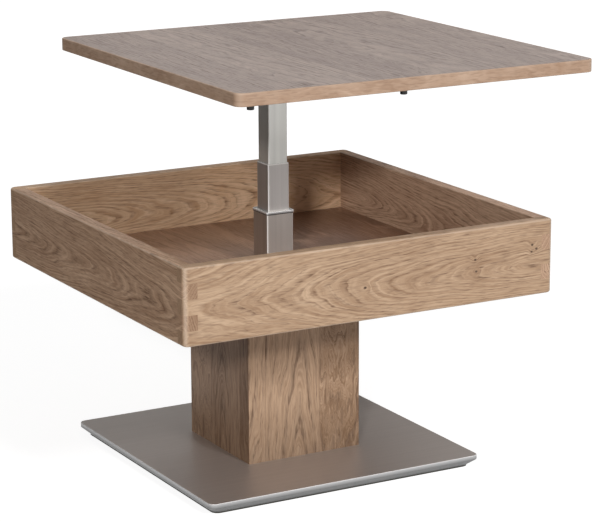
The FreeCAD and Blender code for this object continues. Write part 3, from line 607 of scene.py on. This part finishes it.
# Column tubes
# Three square stainless tubes, one inside the other: the outer one stands on its foot, the middle one
# follows, and the inner one carries the top. Drawn, then brushed lengthwise. A polished trim caps the
# outer tube.

# Brushed stainless steel: fine lengthwise scratches, 0.05 mm wide, drawn 0.7 mm wide so that they show.
# The tubes' rounded edges and the middle tube's upper end take a painted highlight.
TUBE_EDGE_HIGHLIGHT = ("#FAF8F5", 0.8)
TUBE_SCRATCH = (160 * MM, 0.7 * MM)
MID_RIM_HIGHLIGHT = 485.3 * MM
outer_steel = brushed_metal("brushed_stainless_outer", "Z", "#C8C0BA", TUBE_EDGE_HIGHLIGHT, TUBE_SCRATCH,
                            rough=0.54, streak=0.08, metallic=1.0)
mid_steel = brushed_metal("brushed_stainless_middle", "Z", "#C8C3C0", TUBE_EDGE_HIGHLIGHT, TUBE_SCRATCH,
                          rough=0.56, streak=0.08, metallic=1.0, highlight_end_from=MID_RIM_HIGHLIGHT)
# The inner tube has a paler, glossier, less metallic steel than the others: painted light where the top
# shades it
inner_steel = brushed_metal("brushed_stainless_inner", "Z", "#DEDDD8", TUBE_EDGE_HIGHLIGHT, TUBE_SCRATCH,
                            rough=0.42, streak=0.12, metallic=0.76)
# Polished stainless steel: the trim takes a painted highlight above that fades to a painted shadow at its
# lower edge, where it meets the tube.
TRIM_EDGE_HIGHLIGHT = ("#FFFFFF", 0.9)
TRIM_SCRATCH = (60 * MM, 0.5 * MM)
TRIM_LIGHT_AND_SHADOW = ("#FFFFFF", "#3C3835", 408.4 * MM, 405.6 * MM)
collar_steel = brushed_metal("polished_stainless_trim", "X", "#E4E2DE", TRIM_EDGE_HIGHLIGHT, TRIM_SCRATCH,
                             rough=0.25, streak=0.06, metallic=0.6, fold_light_and_shade=TRIM_LIGHT_AND_SHADOW)
finish_with(outer_steel, "outer_tube")
finish_with(collar_steel, "outer_collar")
finish_with(mid_steel, "mid_tube")
finish_with(inner_steel, "inner_tube")


# Guides and glides
# Moulded acetal liners, fixed in the mouths of the tubes and round the lower ends of those that slide in
# them, the blocks that run in the rails, and the stops at the rails' ends.

# Moulded acetal: the mould's spark-eroded texture, about 0.5 mm, is drawn 0.8 mm, and gives a waxy dull
# black.
ACETAL_TEXTURE = 0.8 * MM
ACETAL_DEPTH = 0.08 * MM
acetal, tree, shader = new_material("moulded_acetal")
place = add(tree, "TexCoord", {})
erosion = add(tree, "TexNoise", {"Scale": 1 / ACETAL_TEXTURE, "Detail": 2.0},
              {"Vector": place.outputs["Object"]})
shade = add(tree, "Mix", {"data_type": "RGBA", 6: linear("#19191A"), 7: linear("#242425")},
            {0: erosion.outputs["Fac"]})
pits = add(tree, "Bump", {"Strength": 0.3, "Distance": ACETAL_DEPTH}, {"Height": erosion.outputs["Fac"]})
dulled = add(tree, "MapRange", {"To Min": 0.38, "To Max": 0.52}, {"Value": erosion.outputs["Fac"]})
tree.links.new(shade.outputs[2], shader.inputs["Base Color"])
tree.links.new(pits.outputs["Normal"], shader.inputs["Normal"])
tree.links.new(dulled.outputs["Result"], shader.inputs["Roughness"])
shader.inputs["IOR"].default_value = 1.48
finish_with(acetal, "outer_guide_bush", "mid_glide_ring", "mid_guide_bush", "inner_glide_ring",
            "glide_blocks", "rail_end_stops")


# Gas spring
# A lockable gas spring inside the tubes, which carries the top at any height.
# It has a cylinder of drawn steel, painted, and a rod of ground steel, hard chromed.

# Spring paint: sprayed thin on drawn tube and baked, so it is black with an even gloss.
spring_paint = black_skin("black_spring_paint", "#161617", "#212122", rough=0.32,
                          dimple=COAT_DIMPLE)
finish_with(spring_paint, "gas_spring_cylinder")
# Hard chrome: ground and polished round, so nearly a mirror, with faint rings of the wheel 0.6 mm apart.
WHEEL_RING = 0.6 * MM
WHEEL_SWEEP = 40 * MM
chrome, tree, shader = new_material("ground_hard_chrome")
place = add(tree, "TexCoord", {})
flattened = add(tree, "VectorMath", {"operation": "MULTIPLY",
                                     1: (1 / WHEEL_SWEEP, 1 / WHEEL_SWEEP, 1 / WHEEL_RING)},
                {0: place.outputs["Object"]})
wheel = add(tree, "TexNoise", {"Scale": 1.0, "Detail": 2.0}, {"Vector": flattened.outputs[0]})
dulled = add(tree, "MapRange", {"To Min": 0.08, "To Max": 0.2}, {"Value": wheel.outputs["Fac"]})
shade = add(tree, "Mix", {"data_type": "RGBA", 6: linear("#B9BCC0"), 7: linear("#C9CCCF")},
            {0: wheel.outputs["Fac"]})
tree.links.new(shade.outputs[2], shader.inputs["Base Color"])
tree.links.new(dulled.outputs["Result"], shader.inputs["Roughness"])
shader.inputs["Metallic"].default_value = 1.0
finish_with(chrome, "gas_spring_rod")


# Slide frame and release lever
# Flat steel bars welded to a plate on the column's head, and the lever with its bracket and tongue.
# All are cut from sheet steel.

# Powder coat, as on the column's foot but a little duller, so that it hides under the top.
frame_paint = black_skin("black_frame_coat", "#1D1D1E", "#2D2D2E", rough=0.5, dimple=COAT_DIMPLE)
finish_with(frame_paint, "frame_cross_plate", "frame_front_bar", "frame_back_bar", "lever_tongue",
            "lever_bracket", "release_lever")


# Cap nuts
# Round steel nuts with a closed, eased end, screwed on the glide bolts under the frame. Two of them show
# below the top. Cold formed and blackened.

# Black oxide: a thin oiled skin with dimples of 0.8 mm and finer specks, which break up its low gloss.
OXIDE_DIMPLE = 0.8 * MM
cap_black = black_skin("black_oxide", "#141312", "#2B2A28", rough=0.36, dimple=OXIDE_DIMPLE)
finish_with(cap_black, "cap_nuts")


# Lever grip and rest pad
# Soft pieces of moulded rubber: the grip pushed over the lever's end, and the pad glued to the tongue, on
# which the lever rests.

# Moulded rubber: fine matt texture of about 1 mm, dusty black without gloss.
RUBBER_TEXTURE = 1.0 * MM
grip_rubber = black_skin("moulded_rubber", "#1A1A1A", "#262626", rough=0.78, dimple=RUBBER_TEXTURE)
finish_with(grip_rubber, "lever_rest_pad", "lever_grip")


# Rails
# Two extruded aluminium channels in which the glides run.
# A flange is welded along each side of them and screwed up into the top.

# Anodised aluminium: die lines run along the bar under a dull silver skin.
# They are 0.1 mm wide, too fine to show, and are drawn 0.6 mm wide.
# Its edges take a painted highlight.
RAIL_EDGE_HIGHLIGHT = ("#C9CBCD", 0.5)
DIE_LINE = (200 * MM, 0.6 * MM)
rail_silver = brushed_metal("anodised_aluminium", "X", "#A9ABAD", RAIL_EDGE_HIGHLIGHT, DIE_LINE,
                            rough=0.42, streak=0.06, metallic=0.9)
finish_with(rail_silver, "slide_rails", "rail_flanges")


# Top
# A board of solid oak, glued up from wide staves that run front to back, with rounded corners.
# Planed, sanded and oiled, and held to the rails by screws from below.

# Oiled oak, sanded fine, so it takes a grey sheen at a low angle.
TOP_OAK = ("#B19B8E", "#8B7469", "#4A382E", 0.9, 0.5)
TOP_LEAN = 0.02
TOP_RING = 5 * MM
TOP_WANDER = 18 * MM
TOP_PITH = 560 * MM
top_staves = [(start * MM, (start + shift) * MM, TOP_PITH + into * MM, tone, ripple)
              for start, shift, into, tone, ripple in
              ((-230, 150, 30, 0.55, 3.0), (-112, 10, -20, 0.25, 2.5), (6, 120, 10, 0.75, 3.5),
               (124, 30, -30, 0.4, 2.5), (242, 140, 25, 0.6, 3.0), (360, 20, 0, 0.35, 3.0))]
top_oak = oak("oiled_oak_top", "YXZ", TOP_LEAN, TOP_RING, TOP_WANDER, seed=21.0, colours=TOP_OAK,
              rough=0.4, staves=top_staves)
finish_with(top_oak, "top_panel")


# Edge band
# A lipping of oak, 3 mm thick, glued round the board.
# Its edges are rounded over above and below, then sanded and oiled with the board.

# Oiled oak, cut with the grain along the strip, so its lines run round the edge.
BAND_OAK = ("#C6A992", "#A4846C", "#6E503C", 0.75, 0.5)
BAND_RING = 4 * MM
BAND_WANDER = 10 * MM
BAND_STRIP = [(0.0, 600 * MM, 20 * MM, 0.5, 2.0)]
band_oak = oak("oiled_oak_band", "SZ", 0.0, BAND_RING, BAND_WANDER, seed=31.0, colours=BAND_OAK,
               rough=0.46, staves=BAND_STRIP, gloss=0.35)
finish_with(band_oak, "top_edge_band")


# Studio floor
# A sweep of pale paper that the table stands on, just under the felt.
# It keeps a faint shadow of the table, and is white where nothing shades it.

FLOOR_HALF = 30.0
FLOOR_DROP = 0.2 * MM
PAPER_GLOW = 0.84
floor_mesh = bpy.data.meshes.new("studio_floor")
floor_corners = [(x * FLOOR_HALF, y * FLOOR_HALF, -FLOOR_DROP)
                 for x, y in ((-1, -1), (1, -1), (1, 1), (-1, 1))]
floor_mesh.from_pydata(floor_corners, [], [(0, 1, 2, 3)])
studio_floor = bpy.data.objects.new("studio_floor", floor_mesh)
bpy.context.scene.collection.objects.link(studio_floor)


def shows_background(tree):
    """1 for a ray that shows the background to the camera, in a gloss or through a glass, and else 0."""
    path = add(tree, "LightPath", {})
    seen = add(tree, "Math", {"operation": "MAXIMUM"},
               {0: path.outputs["Is Camera Ray"], 1: path.outputs["Is Glossy Ray"]})
    return add(tree, "Math", {"operation": "MAXIMUM"},
               {0: seen.outputs[0], 1: path.outputs["Is Transmission Ray"]}).outputs[0]


# Paper sweep: matt white, so bright that only the shadow shows on it.
sweep, tree, shader = new_material("pale_paper_sweep")
shown = shows_background(tree)
paper = add(tree, "Mix", {"data_type": "RGBA", 6: linear("#F2F2F2"), 7: linear("#AAAAAA")}, {0: shown})
glow = add(tree, "Math", {"operation": "MULTIPLY", 1: PAPER_GLOW}, {0: shown})
tree.links.new(paper.outputs[2], shader.inputs["Base Color"])
tree.links.new(glow.outputs[0], shader.inputs["Emission Strength"])
shader.inputs["Emission Color"].default_value = linear("#FFFFFF")
shader.inputs["Roughness"].default_value = 1.0
shader.inputs["Specular IOR Level"].default_value = 0.0
floor_mesh.materials.append(sweep)


# Cards
# A dark board that stands at the left of the table, one that lies on the floor beside it, and a grey and a
# slate one behind, none of which the camera sees.
# They keep glare off its steel and stray light off its left side.

# Each has its first corner and two sides from there, in metres, its paint, and whether it also shades matt
# surfaces or only shows in shiny ones.
for name, first, side, rise, tone, bounces in (
        ("dark_card", (-1.25, -0.3, 0.004), (0, 4.8, 0), (0, 0, 2.596), "#33302D", True),
        ("floor_card", (-3.2, -0.3, 0.004), (2.78, 0, 0), (0, 4.8, 0), "#2A2520", False),
        ("grey_card", (-0.6, 1.2, 0.0), (1.15, 0, 0), (0, 0, 0.86), "#999C9D", False),
        ("slate_card", (0.55, 1.2, 0.0), (2.45, 0, 0), (0, 0, 0.86), "#2C2A28", False)):
    first, side, rise = Vector(first), Vector(side), Vector(rise)
    card_mesh = bpy.data.meshes.new(name)
    card_mesh.from_pydata([first, first + side, first + side + rise, first + rise], [], [(0, 1, 2, 3)])
    card = bpy.data.objects.new(name, card_mesh)
    bpy.context.scene.collection.objects.link(card)
    # Matt card: brushed with dull paint, so it gives back a little light and no gloss.
    paint, tree, shader = new_material(name + "_paint")
    shader.inputs["Base Color"].default_value = linear(tone)
    shader.inputs["Roughness"].default_value = 1.0
    shader.inputs["Specular IOR Level"].default_value = 0.0
    card_mesh.materials.append(paint)
    card.visible_camera = False
    card.visible_shadow = False
    card.visible_diffuse = bounces


# Studio light
# Two far soft boxes at the front, one nearly straight ahead and one at the camera's side, and a white room
# that fills the shade. Each shines evenly over the whole table.

# Each soft box has its degrees to the left of straight ahead and above the floor, its spread in degrees,
# and its level.
for name, aside, rise, spread, level in (
        ("front_soft_box", -8, 33, 9, 0.39),
        ("camera_soft_box", 36.6, 20.5, 5, 0.44)):
    turn, lift = math.radians(aside), math.radians(rise)
    shine = Vector((-math.sin(turn) * math.cos(lift), -math.cos(turn) * math.cos(lift), math.sin(lift)))
    lamp = bpy.data.lights.new(name, "SUN")
    lamp.angle = math.radians(spread)
    lamp.energy = level * math.pi
    soft_box = bpy.data.objects.new(name, lamp)
    soft_box.rotation_euler = shine.to_track_quat("Z", "Y").to_euler()
    bpy.context.scene.collection.objects.link(soft_box)

ROOM_FILL = 0.28
room = bpy.data.worlds.new("white_room")
room.use_nodes = True
bpy.context.scene.world = room
tree = room.node_tree
strength = add(tree, "MapRange", {"To Min": ROOM_FILL, "To Max": 1.0}, {"Value": shows_background(tree)})
tree.links.new(strength.outputs["Result"], tree.nodes["Background"].inputs["Strength"])
tree.nodes["Background"].inputs["Color"].default_value = linear("#FFFFFF")


# Camera
# The photograph's viewpoint: a long lens from the front left, looking a little down on the top.
# Its focal length and the middle of its picture are in pixels of the photograph.

PICTURE_WIDTH = 600
FOCAL_PIXELS = 2427.20
CENTRE_PIXEL = 319.35
SENSOR = 36.0
CAMERA_PLACE = (-1.8387, -3.3741, 1.2693)
YAW = math.radians(29.703)
PITCH = math.radians(13.856)
ROLL = math.radians(-0.096)
ahead = Vector((math.sin(YAW) * math.cos(PITCH), math.cos(YAW) * math.cos(PITCH), -math.sin(PITCH)))
right = Vector((math.cos(YAW), -math.sin(YAW), 0.0))
up = right.cross(ahead)
turned_right = right * math.cos(ROLL) + up * math.sin(ROLL)
turned_up = up * math.cos(ROLL) - right * math.sin(ROLL)
lens = bpy.data.cameras.new("photo_camera")
lens.sensor_width = SENSOR
lens.lens = FOCAL_PIXELS / PICTURE_WIDTH * SENSOR
lens.shift_x = (PICTURE_WIDTH / 2 - CENTRE_PIXEL) / PICTURE_WIDTH
camera = bpy.data.objects.new("photo_camera", lens)
camera.matrix_world = Matrix((turned_right, turned_up, -ahead)).transposed().to_4x4()
camera.location = CAMERA_PLACE
bpy.context.scene.collection.objects.link(camera)
bpy.context.scene.camera = camera
bpy.context.scene.view_settings.view_transform = "Standard"
